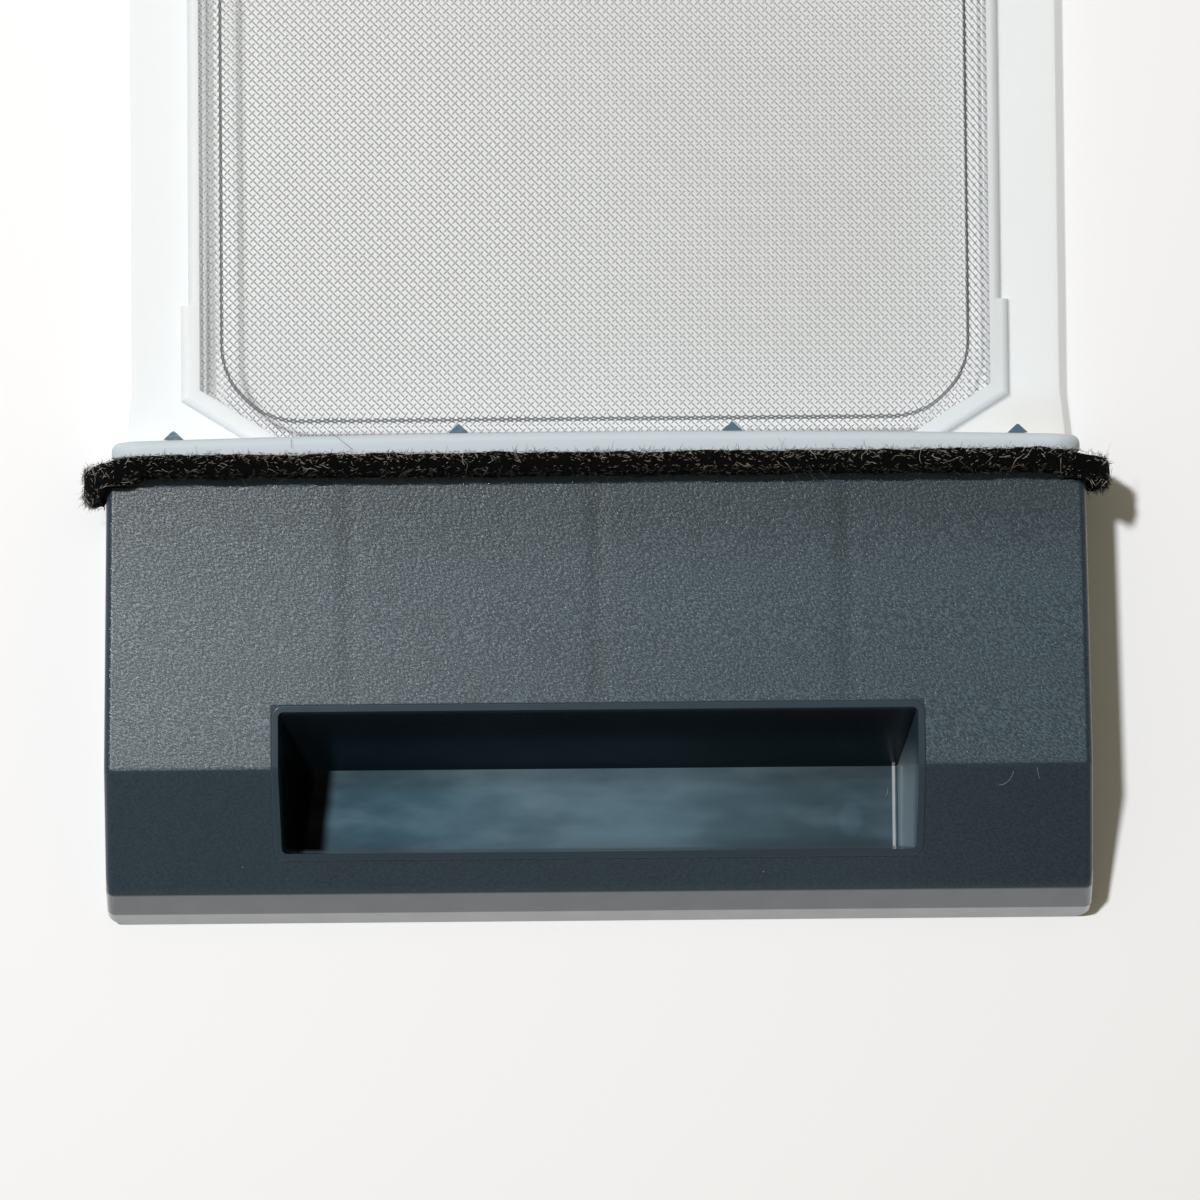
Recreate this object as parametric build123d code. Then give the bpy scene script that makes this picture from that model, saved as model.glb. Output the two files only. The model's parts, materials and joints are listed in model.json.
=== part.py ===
"""Tumble dryer lint filter: a hollow handle snapped to a framed wire screen, with a felt seal between them.

Millimetres. X runs across the filter, Y from the handle to the far end of the screen and Z up from the
underside. The origin is the middle of the underside.
"""
import os

from build123d import *

os.makedirs("parts", exist_ok=True)

# Handle cover
cover_width = 264.5
cover_height = 34.0
back_height = 32.5
face_length = 74.2
front_run = 33.0
lip_height = 17.0
nose_run = 5.5
nose_height = 8.0
toe_run = 2.9
cover_wall = 2.5
side_draft = 2.6
back_taper = 1.4
crease_radius = 3.5
lip_radius = 2.4
nose_corner_radius = 5.0
cover_edge_radius = 2.2

# Finger pocket
pocket_width = 167.2
pocket_behind_crease = 15.1
pocket_before_crease = 22.2
pocket_floor_height = 10.0
pocket_floor_back = 0.5
pocket_undercut = 4.0
pocket_end_slope = 3.8
pocket_wall = 2.2
pocket_floor_radius = 1.4
pocket_corner_radius = 1.5
rim_width = 1.9
rim_rise = 0.5
rim_round = 0.45

# Stiffening ribs under the textured face
rib_pitch = 65.0
rib_thickness = 2.0

# Neck and felt
neck_width = 254.0
neck_drop = 3.1
neck_radius = 5.0
channel_width = 8.2
felt_width = 6.2
felt_thickness = 8.6
felt_lift = 0.3
felt_round = 2.6
felt_clearance = 0.1

# Flange and its snap hooks
flange_width = 255.6
flange_height = 32.0
flange_depth = 4.0
flange_bow = 1.8
flange_radius = 8.0
flange_round = 2.2
hook_places = (-111.0, -36.0, 36.0, 111.0)
hook_width = 3.6
hook_head_width = 5.2
hook_head_length = 2.4
hook_tip_radius = 0.6
hook_thickness = 2.2
hook_clearance = 0.15

# Screen frame
frame_width = 249.0
frame_length = 272.0
frame_wall = 2.0
rail_height = 8.0
rail_thickness = 2.2
frame_corner_radius = 12.0
flare_width = 1.6
flare_length = 15.0
window_width = 211.6
window_sill = 0.4
end_bar = 18.0
gusset_across = 21.0
gusset_along = 13.0
rim_height = 11.0
frame_rim_width = 3.2
frame_rim_round = 2.2
strip_width = 5.2
strip_length = 38.0

# Wire cloth
cloth_thickness = 0.6
cloth_height = 9.4
cloth_rise = 5.0
cloth_slope_run = 6.2
crease_drop = 3.2
crease_run = 1.2
cloth_edge = 2.2
cloth_clearance = 0.05
crease_corner_radius = 22.0
edge_corner_radius = 3.0
weave_pitch = 20.5
weave_gap = 17.9
weave_least_share = 0.2
weave_ridge_width = 1.6
weave_ridge_height = 0.4
weave_margin = 3.0

# Places along the filter, measured from the face that the handle seats on
shoulder = -channel_width
crease = shoulder - face_length
lip = crease - front_run
nose = lip - nose_run
toe = nose - toe_run
flange_back = flange_depth
frame_end = flange_back + frame_length
origin_shift = -(toe + frame_end) / 2
neck_top = back_height - neck_drop
neck_floor = felt_lift + felt_thickness
front_slope = (cover_height - lip_height) / front_run
pocket_front_height = cover_height - pocket_before_crease * front_slope


def corner_fillet(sketch, point, radius):
    """Round the corner of a flat outline that lies nearest to a point."""
    nearest = sketch.vertices().sort_by_distance(point)[0]
    return fillet(nearest, radius)


def along_x(outline, length):
    """Extrude an outline drawn in Y and Z to both sides of the middle."""
    return extrude(Plane.YZ * outline, amount=length / 2, both=True)


def along_y(outline, start, end):
    """Extrude an outline drawn in X and Z from one place along the filter to another."""
    return extrude(Plane.XZ.offset(-start) * outline, amount=start - end)


def along_z(outline, low, high):
    """Extrude a plan outline from one height to another."""
    return extrude(Pos(0, 0, low) * outline, amount=high - low)


def cover_profile():
    """Side view of the handle: flat back, long top face, sloping front and blunt nose."""
    points = [(shoulder, 0), (shoulder, back_height), (crease, cover_height), (lip, lip_height),
              (nose, nose_height), (toe, 0)]
    return make_face(Polyline(*points, close=True))


def rounded_profile():
    """The side view with the crease and the front edges rounded."""
    profile = cover_profile()
    profile = corner_fillet(profile, (crease, cover_height), crease_radius)
    profile = corner_fillet(profile, (lip, lip_height), lip_radius)
    return corner_fillet(profile, (nose, nose_height), lip_radius)


def side_walls(half):
    """End view of the handle, narrower at the top so that it leaves its mould."""
    high = half - side_draft
    points = [(-half, 0), (half, 0), (high, cover_height), (-high, cover_height)]
    return make_face(Polyline(*points, close=True))


def side_block(inset):
    """Everything between the handle's side walls, which also draw in a little towards the neck."""
    half = cover_width / 2 - inset
    front = Plane.XZ.offset(-toe) * side_walls(half)
    back = Plane.XZ.offset(-shoulder) * side_walls(half - back_taper)
    return loft([front, back], ruled=True)


def cover_plan(inset):
    """Plan of the handle with its two front corners rounded."""
    half = cover_width / 2 - inset
    front = toe + inset
    plan = make_face(Polyline((-half, shoulder), (half, shoulder), (half, front), (-half, front), close=True))
    radius = nose_corner_radius - inset
    plan = corner_fillet(plan, (-half, front), radius)
    return corner_fillet(plan, (half, front), radius)


def cover_block():
    """The outside of the handle as a solid block."""
    block = along_x(rounded_profile(), cover_width)
    block &= side_block(0)
    block = fillet(block.edges().filter_by(is_upper_side), cover_edge_radius)
    return block & along_z(cover_plan(0), 0, cover_height)


def is_upper_side(edge):
    """Tell whether an edge runs along the top of one of the handle's sides, from the neck to the toe."""
    middle = edge.center()
    near_side = abs(middle.X) > cover_width / 2 - 2 * side_draft - back_taper
    across = abs(edge.tangent_at(0.5).X) > 0.5
    return near_side and not across and middle.Z > cover_edge_radius and middle.Y < shoulder - cover_edge_radius


def cover_cavity():
    """The hollow of the handle, one wall inside the block."""
    profile = offset(cover_profile(), amount=-cover_wall, kind=Kind.INTERSECTION)
    hollow = along_x(profile, cover_width)
    hollow &= side_block(cover_wall)
    return hollow & along_z(cover_plan(cover_wall), 0, cover_height)


def neck_outline(grow):
    """Section of the neck, grown or shrunk all round."""
    width = neck_width + 2 * grow
    height = neck_top - neck_floor + 2 * grow
    middle = (neck_top + neck_floor) / 2
    return Pos(0, middle) * RectangleRounded(width, height, neck_radius + grow)


def pocket_profile():
    """Side view of the finger pocket: sloping back, flat floor and a front that undercuts its edge."""
    back = crease + pocket_behind_crease
    front = crease - pocket_before_crease
    above = cover_height + cover_wall
    points = [(back, above), (back, cover_height), (crease - pocket_floor_back, pocket_floor_height),
              (front - pocket_undercut, pocket_floor_height), (front, pocket_front_height), (front, above)]
    return make_face(Polyline(*points, close=True))


def pocket_end_view(grow, mouth):
    """End view of the finger pocket, narrower at its floor than at the height of its mouth."""
    half = pocket_width / 2 + grow
    slope = pocket_end_slope / (mouth - pocket_floor_height)
    floor = pocket_floor_height - grow
    above = cover_height + cover_wall + grow
    low = half - (mouth - floor) * slope
    high = half + (above - mouth) * slope
    return make_face(Polyline((-low, floor), (low, floor), (high, above), (-high, above), close=True))


def pocket_ends(grow):
    """The space between the pocket's end walls, which steepen towards the front as the mouth comes down."""
    front = crease - pocket_before_crease
    tall = pocket_end_view(grow, cover_height)
    short = pocket_end_view(grow, pocket_front_height)
    twist = loft([Plane.XZ.offset(-crease) * tall, Plane.XZ.offset(-front) * short], ruled=True)
    return along_y(tall, crease, shoulder) + [twist, along_y(short, toe, front)]


def pocket_block(grow):
    """The space of the finger pocket, grown by a wall where the tub around it is wanted."""
    profile = pocket_profile()
    if grow:
        profile = offset(profile, amount=grow, kind=Kind.INTERSECTION)
    return along_x(profile, cover_width) & pocket_ends(grow)


def pocket_coves():
    """Rounded fillings in the corners between the pocket's floor and its end walls."""
    radius = pocket_floor_radius
    slope = pocket_end_slope / (pocket_front_height - pocket_floor_height)
    reach = pocket_width / 2 - pocket_end_slope + slope * radius
    bar = Pos(reach, pocket_floor_height) * Rectangle(2 * radius, 2 * radius)
    bar -= Pos(reach - radius, pocket_floor_height + radius) * Circle(radius)
    bars = along_y(bar, toe, shoulder) & pocket_block(pocket_wall / 2)
    return [bars, mirror(bars, Plane.YZ)]


def pocket_plan(grow):
    """Plan of the pocket's mouth, grown by the width of its rim."""
    length = pocket_behind_crease + pocket_before_crease
    middle = crease + (pocket_behind_crease - pocket_before_crease) / 2
    radius = pocket_corner_radius + grow
    return Pos(0, middle) * RectangleRounded(pocket_width + 2 * grow, length + 2 * grow, radius)


def pocket_rim():
    """The low smooth rim that stands round the mouth of the pocket, its outer edge rounded."""
    outside = offset(rounded_profile(), amount=rim_rise)
    inside = offset(cover_profile(), amount=-cover_wall, kind=Kind.INTERSECTION)
    skin = along_x(outside - inside, cover_width)
    rim = skin & along_z(pocket_plan(rim_width), lip_height, cover_height + 2 * rim_rise)
    return fillet(rim_top_edges(rim), rim_round)


def rim_top_edges(rim):
    """The edges where the top of the rim meets its upright sides."""
    tops = [face for face in rim.faces() if face.normal_at().Z > front_slope]
    edges = [edge for face in tops for edge in face.edges()]
    return [edge for edge in edges if edges.count(edge) == 1]


def stiffening_ribs():
    """Three upright ribs that run along the hollow from the neck to the pocket."""
    ribs = [Pos(place, 0, 0) * along_x(cover_profile(), rib_thickness) for place in (-rib_pitch, 0, rib_pitch)]
    return ribs[0] + ribs[1:]


def flange_back_at(place):
    """Where the bowed back of the flange lies at a place across the filter."""
    return flange_back + flange_bow * (1 - (place / (flange_width / 2)) ** 2)


def snap_hooks():
    """Four flat arrow hooks that reach from the neck through the flange."""
    half = hook_width / 2
    head = hook_head_width / 2
    hooks = []
    for place in hook_places:
        seat = flange_back_at(abs(place) - head) + hook_clearance
        points = [(-half, -cover_wall), (half, -cover_wall), (half, seat), (head, seat),
                  (0, seat + hook_head_length), (-head, seat), (-half, seat)]
        arrow = make_face(Polyline(*points, close=True))
        arrow = corner_fillet(arrow, (0, seat + hook_head_length), hook_tip_radius)
        hooks.append(Pos(place, 0, 0) * along_z(arrow, neck_top - hook_thickness, neck_top))
    return hooks


def handle_cover():
    """The moulded handle: a shell with a neck, a finger pocket, ribs and snap hooks."""
    block = cover_block()
    hollow = cover_cavity() + along_y(neck_outline(-cover_wall), shoulder - cover_wall, 0)
    inner_walls = (pocket_block(pocket_wall) + stiffening_ribs()) & hollow & block
    shell = block + along_y(neck_outline(0), shoulder, 0) - hollow + [inner_walls, pocket_rim(), *snap_hooks()]
    shell -= pocket_block(0) & along_z(pocket_plan(0), 0, cover_height + cover_wall)
    return shell + pocket_coves()


def felt_seal():
    """The felt strip wound round the neck, with its outer edges rounded."""
    ring = neck_outline(felt_thickness) - neck_outline(felt_clearance)
    strip = along_y(ring, -felt_width - felt_clearance, -felt_clearance)
    edges = []
    for face in strip.faces().filter_by(Axis.Y):
        for edge in face.outer_wire().edges():
            edges.append(edge)
    return fillet(edges, felt_round)


def flange():
    """The upright flange that closes the neck, bowed along its back and slotted for the hooks."""
    half = flange_width / 2
    front = Pos(0, flange_height / 2) * Rectangle(flange_width, flange_height)
    front = corner_fillet(front, (-half, flange_height), flange_radius)
    front = corner_fillet(front, (half, flange_height), flange_radius)
    highest = flange_back + flange_bow
    bow_radius = (half ** 2 + flange_bow ** 2) / (2 * flange_bow)
    bow = Pos(0, highest - bow_radius) * Circle(bow_radius)
    plate = along_y(front, 0, highest) & along_z(bow, 0, flange_height)
    rear = plate.faces().sort_by(Axis.Y)[-1]
    plate = fillet(rear.edges().filter_by(lambda edge: edge.center().Z > 0), flange_round)
    slot_low = neck_top - hook_thickness - hook_clearance
    slot = Rectangle(hook_width + 2 * hook_clearance, flange_back * 4)
    cut = along_z(slot, slot_low, neck_top + hook_clearance)
    return plate - [Pos(place, 0, 0) * cut for place in hook_places]


def window_outline(grow):
    """Plan of the frame's window with its corners cut off by the gussets."""
    half = window_width / 2
    near = flange_back + flange_bow + window_sill
    far = frame_end - end_bar
    points = [(-half, near + gusset_along), (-half + gusset_across, near), (half - gusset_across, near),
              (half, near + gusset_along), (half, far - gusset_along), (half - gusset_across, far),
              (-half + gusset_across, far), (-half, far - gusset_along)]
    outline = make_face(Polyline(*points, close=True))
    if grow:
        outline = offset(outline, amount=grow, kind=Kind.INTERSECTION)
    return outline


def frame_outline(inset):
    """Plan of the whole frame behind the flange: flared where it meets the flange, its far corners rounded."""
    half = frame_width / 2
    near = flange_back
    points = [(-half - flare_width, near), (half + flare_width, near), (half, near + flare_length),
              (half, frame_end), (-half, frame_end), (-half, near + flare_length)]
    plan = make_face(Polyline(*points, close=True))
    plan = corner_fillet(plan, (-half, frame_end), frame_corner_radius)
    plan = corner_fillet(plan, (half, frame_end), frame_corner_radius)
    if inset:
        plan = offset(plan, amount=-inset, kind=Kind.INTERSECTION)
    return plan


def raised_band(width):
    """A band round the window with its outer top edge rounded."""
    band = along_z(window_outline(width), rail_height - rail_thickness, rim_height)
    band = fillet(band.faces().sort_by(Axis.Z)[-1].edges(), frame_rim_round)
    return band - along_z(window_outline(0), 0, rim_height)


def corner_strip_reach():
    """Plan of the near end of the frame, where the band round the window is wider."""
    return Pos(0, flange_back + strip_length / 2) * Rectangle(frame_width, strip_length)


def screen_frame():
    """The white frame: channel rails, the raised rim that holds the cloth, corner strips and the flange."""
    top = along_z(frame_outline(0) - window_outline(0), rail_height - rail_thickness, rail_height)
    skirt = along_z(frame_outline(0) - frame_outline(frame_wall), 0, rail_height)
    inner = along_z(window_outline(frame_wall) - window_outline(0), 0, rail_height)
    rim = raised_band(frame_rim_width)
    strip = raised_band(strip_width) & along_z(corner_strip_reach(), 0, rim_height)
    limit = along_z(frame_outline(0), 0, rim_height)
    frame = top + skirt + ((inner + rim + strip) & limit) + flange()
    return frame - cloth_groove()


def cloth_groove():
    """The slot in the rim that holds the edge of the wire cloth."""
    edge = window_outline(cloth_edge + cloth_clearance)
    low = cloth_height - cloth_clearance
    return along_z(edge, low, cloth_height + cloth_thickness + cloth_clearance)


def rounded_window(grow, radius):
    """The window's outline with all its corners rounded."""
    outline = window_outline(grow)
    return fillet(outline.vertices(), radius)


def cloth_dome():
    """The raised middle of the cloth: a sloping brim, then a steep crease up to the flat top."""
    top = cloth_height + cloth_rise
    brim = rounded_window(crease_run - cloth_slope_run, crease_corner_radius + crease_run)
    brim = Pos(0, 0, top - crease_drop) * brim
    foot = Pos(0, 0, cloth_height) * rounded_window(0, edge_corner_radius)
    crown = Pos(0, 0, top) * rounded_window(-cloth_slope_run, crease_corner_radius)
    return loft([foot, brim], ruled=True) + loft([brim, crown], ruled=True)


def weave_field():
    """Plan of the flat top of the cloth inside its plain margin."""
    return rounded_window(-cloth_slope_run - weave_margin, crease_corner_radius - weave_margin)


def weave_cells(low, high):
    """The weave's open cells, on lines at 45 degrees to the frame and cut off at the margin."""
    field = weave_field()
    box = field.bounding_box()
    step = weave_pitch / 2 ** 0.5
    reach = int((box.size.X + box.size.Y) / weave_pitch) + 1
    cell = Rot(0, 0, 45) * Rectangle(weave_gap, weave_gap)
    cells = []
    for row in range(-reach, reach + 1):
        for column in range(-reach, reach + 1):
            place = box.center() + Vector((row - column) * step, (row + column) * step)
            opening = field & Pos(place.X, place.Y) * cell
            if opening and opening.area > weave_least_share * cell.area:
                cells.append(along_z(opening, low, high))
    return cells


def weave_ridges(turn, low):
    """Parallel ridges that cross the top of the cloth on one diagonal, midway between the open cells."""
    field = weave_field()
    box = field.bounding_box()
    length = box.size.X + box.size.Y
    count = int(length / weave_pitch / 2) + 1
    ridges = []
    for index in range(-count, count):
        across = (index + 0.5) * weave_pitch
        bar = Pos(0, across, weave_ridge_height / 2) * Box(length, weave_ridge_width, weave_ridge_height)
        ridges.append(Pos(box.center().X, box.center().Y, low) * Rot(0, 0, turn) * bar)
    return along_z(field, low, low + weave_ridge_height) & (ridges[0] + ridges[1:])


def mesh_screen():
    """The formed wire cloth: a shallow pan with crossed ridges and the open cells between them."""
    dome = cloth_dome()
    edge = rounded_window(0, edge_corner_radius)
    foot = along_z(edge, cloth_height, cloth_height + cloth_thickness)
    border = along_z(window_outline(cloth_edge) - edge, cloth_height, cloth_height + cloth_thickness)
    under = cloth_height + cloth_rise
    ridges = [weave_ridges(45, under + cloth_thickness), weave_ridges(-45, under - weave_ridge_height)]
    cloth = Pos(0, 0, cloth_thickness) * dome + [foot, border] - dome + ridges
    return cloth - weave_cells(under - 2 * weave_ridge_height, under + cloth_thickness + 2 * weave_ridge_height)


def write(node, name):
    """Save one piece with the origin in the middle of the underside."""
    placed = Pos(0, origin_shift, 0) * node
    placed.label = name
    export_step(placed, f"parts/{name}.step")


for name, piece in (("handle_cover", handle_cover()), ("screen_frame", screen_frame()),
                    ("mesh_screen", mesh_screen()), ("felt_seal", felt_seal())):
    write(piece, name)
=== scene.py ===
"""Looks of a tumble dryer lint filter: moulded handle, white frame, woven wire cloth and felt seal."""

import json
import math

import bpy
import numpy as np
from mathutils import Matrix, Vector, noise

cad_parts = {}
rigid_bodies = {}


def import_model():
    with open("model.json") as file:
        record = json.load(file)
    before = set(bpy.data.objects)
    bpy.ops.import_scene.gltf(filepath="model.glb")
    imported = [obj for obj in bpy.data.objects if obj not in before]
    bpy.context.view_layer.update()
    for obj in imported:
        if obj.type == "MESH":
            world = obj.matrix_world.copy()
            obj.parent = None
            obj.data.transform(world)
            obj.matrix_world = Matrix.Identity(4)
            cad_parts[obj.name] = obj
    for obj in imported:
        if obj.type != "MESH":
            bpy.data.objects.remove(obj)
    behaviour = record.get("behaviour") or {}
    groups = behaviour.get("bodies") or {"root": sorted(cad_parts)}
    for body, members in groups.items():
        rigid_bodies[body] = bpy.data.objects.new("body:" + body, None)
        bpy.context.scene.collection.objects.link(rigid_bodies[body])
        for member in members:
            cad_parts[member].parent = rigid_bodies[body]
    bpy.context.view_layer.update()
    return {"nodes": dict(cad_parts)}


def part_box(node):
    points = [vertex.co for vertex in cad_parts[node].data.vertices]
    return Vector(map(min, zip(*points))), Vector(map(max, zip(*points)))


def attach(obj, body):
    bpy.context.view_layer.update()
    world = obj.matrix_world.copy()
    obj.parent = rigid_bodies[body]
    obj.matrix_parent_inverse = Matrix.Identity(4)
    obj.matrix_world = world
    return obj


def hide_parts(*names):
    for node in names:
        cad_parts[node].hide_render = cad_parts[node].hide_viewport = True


bl_info = {
    "name": "Lint Filter Looks",
    "version": (1, 0, 0),
    "blender": (4, 5, 0),
    "location": "3D View > Sidebar > Lint Filter",
    "description": "Builds the finishes, wire cloth, felt and stage of a tumble dryer lint filter",
    "category": "Object",
}

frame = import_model()

MM = 0.001
TAU = 2 * math.pi
CLOTH_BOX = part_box("mesh_screen")
FELT_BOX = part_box("felt_seal")
COVER_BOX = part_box("handle_cover")
SHOULDER_GAP = 1.9 * MM
SHOULDER = FELT_BOX[0].y - SHOULDER_GAP


def size(name, description, default):
    """A length that a user may change, in metres."""
    return bpy.props.FloatProperty(name=name, description=description, default=default, unit="LENGTH",
                                   precision=5)


def share(name, description, default):
    """A plain number from nothing to one."""
    return bpy.props.FloatProperty(name=name, description=description, default=default, min=0, max=1,
                                   subtype="FACTOR")


def colour(name, description, default):
    """A finish's colour."""
    return bpy.props.FloatVectorProperty(name=name, description=description, default=default, size=3,
                                         min=0, max=1, subtype="COLOR")


class HandleSettings(bpy.types.PropertyGroup):
    """Finish of the moulded handle."""

    slate: colour("Slate", "Colour of the moulded plastic", (0.026, 0.044, 0.064))
    # sheen and left_sheen are painted reflection: the bluish sheen of the glossy pocket floor, bluer to the
    # left.
    sheen: colour("Sheen", "Bluish tone of the rubbed pocket floor", (0.054, 0.104, 0.142))
    left_sheen: colour("Film", "Bluer tone at the left of the pocket floor", (0.034, 0.104, 0.160))
    # lit_end: painted light on the pocket's right end, which faces the light.
    lit_end: colour("Scuff", "Tone of the rubbed end of the pocket", (0.18, 0.25, 0.30))
    worn: colour("Worn", "Tone of the grained top", (0.0260, 0.0450, 0.0590))
    # dust_and_highlight: colour of the dust flecks, also mixed in as painted highlights on the top and along
    # the pocket floor's right cove.
    dust_and_highlight: colour("Dust", "Colour of the dust flecks", (0.52, 0.55, 0.56))
    grain_size: size("Grain size", "Width of one pebble of the moulded grain", 0.50 * MM)
    grain_depth: size("Grain depth", "Depth of the moulded grain", 0.065 * MM)
    grain_roughness: share("Grain roughness", "Roughness of the grained top", 0.30)
    gloss_roughness: share("Gloss roughness", "Roughness of the smooth front", 0.16)
    rib_pitch: size("Rib pitch", "Spacing of the sink marks over the ribs inside", 65.0 * MM)
    sink_width: size("Sink width", "Half width of a sink mark", 4.5 * MM)
    pocket_half: size("Pocket half width", "Half the width of the finger pocket's mouth", 83.6 * MM)
    pocket_back: size("Pocket back", "Back edge of the pocket's mouth", -143.4 * MM)
    pocket_front: size("Pocket front", "Front edge of the pocket's mouth", -180.7 * MM)
    rim_width: size("Rim width", "Width of the smooth rim round the pocket", 1.9 * MM)
    pocket_floor: size("Pocket floor", "Height of the pocket's floor", 10.0 * MM)
    floor_back: size("Floor back", "Back edge of the pocket's floor", -160.5 * MM)
    floor_front: size("Floor front", "Front edge of the pocket's floor", -180.5 * MM)
    floor_cove: size("Floor cove", "Where the bright cove at the floor's right end lies", 78.7 * MM)
    shadow_edge: size("Shadow edge", "Where the shadow on the floor's left end stops", -73.5 * MM)
    mark_across: size("Mark across", "Place of the thumb mark across the floor", 67.0 * MM)
    mark_along: size("Mark along", "Place of the thumb mark along the filter", -173.0 * MM)
    top_height: size("Top height", "Least height of the grained top", 30.5 * MM)
    lip_height: size("Lip height", "Height of the glossy nose", 17.2 * MM)


class FrameSettings(bpy.types.PropertyGroup):
    """Finish of the white screen frame."""

    white: colour("White", "Colour of the white plastic", (0.79, 0.82, 0.855))
    # shade: painted bluish shade, put on the flange and the rim.
    shade: colour("Shade", "Bluish tone of the thin flange", (0.55, 0.615, 0.675))
    # corner_shade: painted shadow on the rails in the near right corner, by the gusset.
    corner_shade: colour("Grime", "Warm tone of the lint dust in the near corners", (0.60, 0.54, 0.44))
    speck: colour("Speck", "Colour of the dark specks", (0.2, 0.19, 0.18))
    roughness: share("Roughness", "Roughness of the white plastic", 0.55)
    rail_top: size("Rail top", "Height just over the rails", 8.1 * MM)
    rim_top: size("Rim top", "Height of the rim round the screen", 11.2 * MM)
    flange_foot: size("Flange foot", "Height where the bluish flange begins", 12.6 * MM)


class ScreenSettings(bpy.types.PropertyGroup):
    """Sizes and finish of the woven wire cloth."""

    pitch: size("Pitch", "Spacing of the wires", 1.5875 * MM)
    wire: size("Wire", "Diameter of a wire", 0.24 * MM)
    crimp: size("Crimp", "How far a wire bends to each side of the cloth", 0.12 * MM)
    edge: size("Edge", "Length of wire held in the frame's slot", 2.2 * MM)
    rise: size("Rise", "Height of the flat middle over the edge", 5.4 * MM)
    brim: size("Brim", "Width of the sloping brim", 5.0 * MM)
    brim_rise: size("Brim rise", "Height that the brim climbs", 2.6 * MM)
    crease: size("Crease", "Width of the steep crease", 0.9 * MM)
    side_inset: size("Side inset", "How much wider the brim is at the sides", 0.7 * MM)
    near_inset: size("Near inset", "How much narrower the brim is at the flange", 1.1 * MM)
    gusset_across: size("Gusset across", "Width of the window's cut corner", 21.0 * MM)
    gusset_along: size("Gusset along", "Length of the window's cut corner", 13.0 * MM)
    corner: size("Corner", "Radius of the crease's corners", 21.0 * MM)
    steel: colour("Steel", "Colour of the wire", (0.048, 0.056, 0.053))
    # crease_shade: painted shade along the steep crease of the cloth.
    crease_shade: colour("Matted", "Colour of the dusty crease", (0.19, 0.22, 0.215))
    # glint: colour of the painted highlight on the wires.
    glint: colour("Crown", "Colour of the wire where it is rubbed bright", (0.88, 0.925, 0.89))
    roughness: share("Roughness", "Roughness of the wire", 0.5)


class FeltSettings(bpy.types.PropertyGroup):
    """Sizes and finish of the felt seal."""

    thickness: size("Thickness", "Thickness of the felt strip", 8.6 * MM)
    neck_round: size("Neck corner", "Corner radius of the neck inside the strip", 5.0 * MM)
    cover_draft: size("Cover draft", "How far the handle's sides lean in", 2.6 * MM)
    cover_round: size("Cover corner", "Radius of the handle's back corners", 2.0 * MM)
    left_lean: size("Left lean", "How far the left end leans past the shoulder", 6.6 * MM)
    right_lean: size("Right lean", "How far the right end leans past the shoulder", 4.4 * MM)
    fibre: size("Fibre", "Radius of a loose fibre", 0.05 * MM)
    hair: size("Hair", "Radius of a shed hair", 0.055 * MM)
    nap_length: size("Nap length", "Usual length of the short fibres", 0.9 * MM)
    nap: bpy.props.IntProperty(name="Nap", description="Number of short fibres", default=13500, min=0)
    stray_length: size("Stray length", "Usual length of the stray fibres", 3.2 * MM)
    strays: bpy.props.IntProperty(name="Strays", description="Number of stray fibres", default=260, min=0)
    black: colour("Black", "Colour of the felt", (0.0022, 0.0022, 0.0024))
    # pale: lighter fibres, also used as painted glints on the felt.
    pale: colour("Pale", "Colour of its lighter fibres", (0.75, 0.71, 0.63))
    hair_pale: colour("Pale hair", "Colour of the hairs on the handle", (0.32, 0.33, 0.33))
    hair_dark: colour("Dark hair", "Colour of the hairs on the flange", (0.05, 0.04, 0.035))


class StageSettings(bpy.types.PropertyGroup):
    """Floor, light and camera."""

    floor: colour("Floor", "Colour of the table", (0.88, 0.885, 0.925))
    sky: colour("Sky", "Colour of the room's light", (0.215, 0.198, 0.138))
    key_power: bpy.props.FloatProperty(name="Key power", description="Power of the key light", default=70.0,
                                       unit="POWER")
    key_size: size("Key size", "Width of the key light", 0.20)
    key_place: bpy.props.FloatVectorProperty(name="Key place", description="Place of the key light",
                                             default=(-0.86, 0.60, 2.6), subtype="TRANSLATION")
    key_aim: bpy.props.FloatVectorProperty(name="Key aim", description="Point that the key light faces",
                                           default=(0.0, -0.10, 0.0), subtype="TRANSLATION")
    eye: bpy.props.FloatVectorProperty(name="Eye", description="Place of the camera",
                                       default=(0.0008, -0.1513, 1.0787), subtype="TRANSLATION")
    tilt: bpy.props.FloatProperty(name="Tilt", description="Lean of the camera towards the far end",
                                  default=math.radians(2.0), unit="ROTATION")
    roll: bpy.props.FloatProperty(name="Roll", description="Turn of the camera about its own line of sight",
                                  default=math.radians(-0.5), unit="ROTATION")
    lens: bpy.props.FloatProperty(name="Lens", description="Focal length in millimetres", default=120.0)


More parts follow.
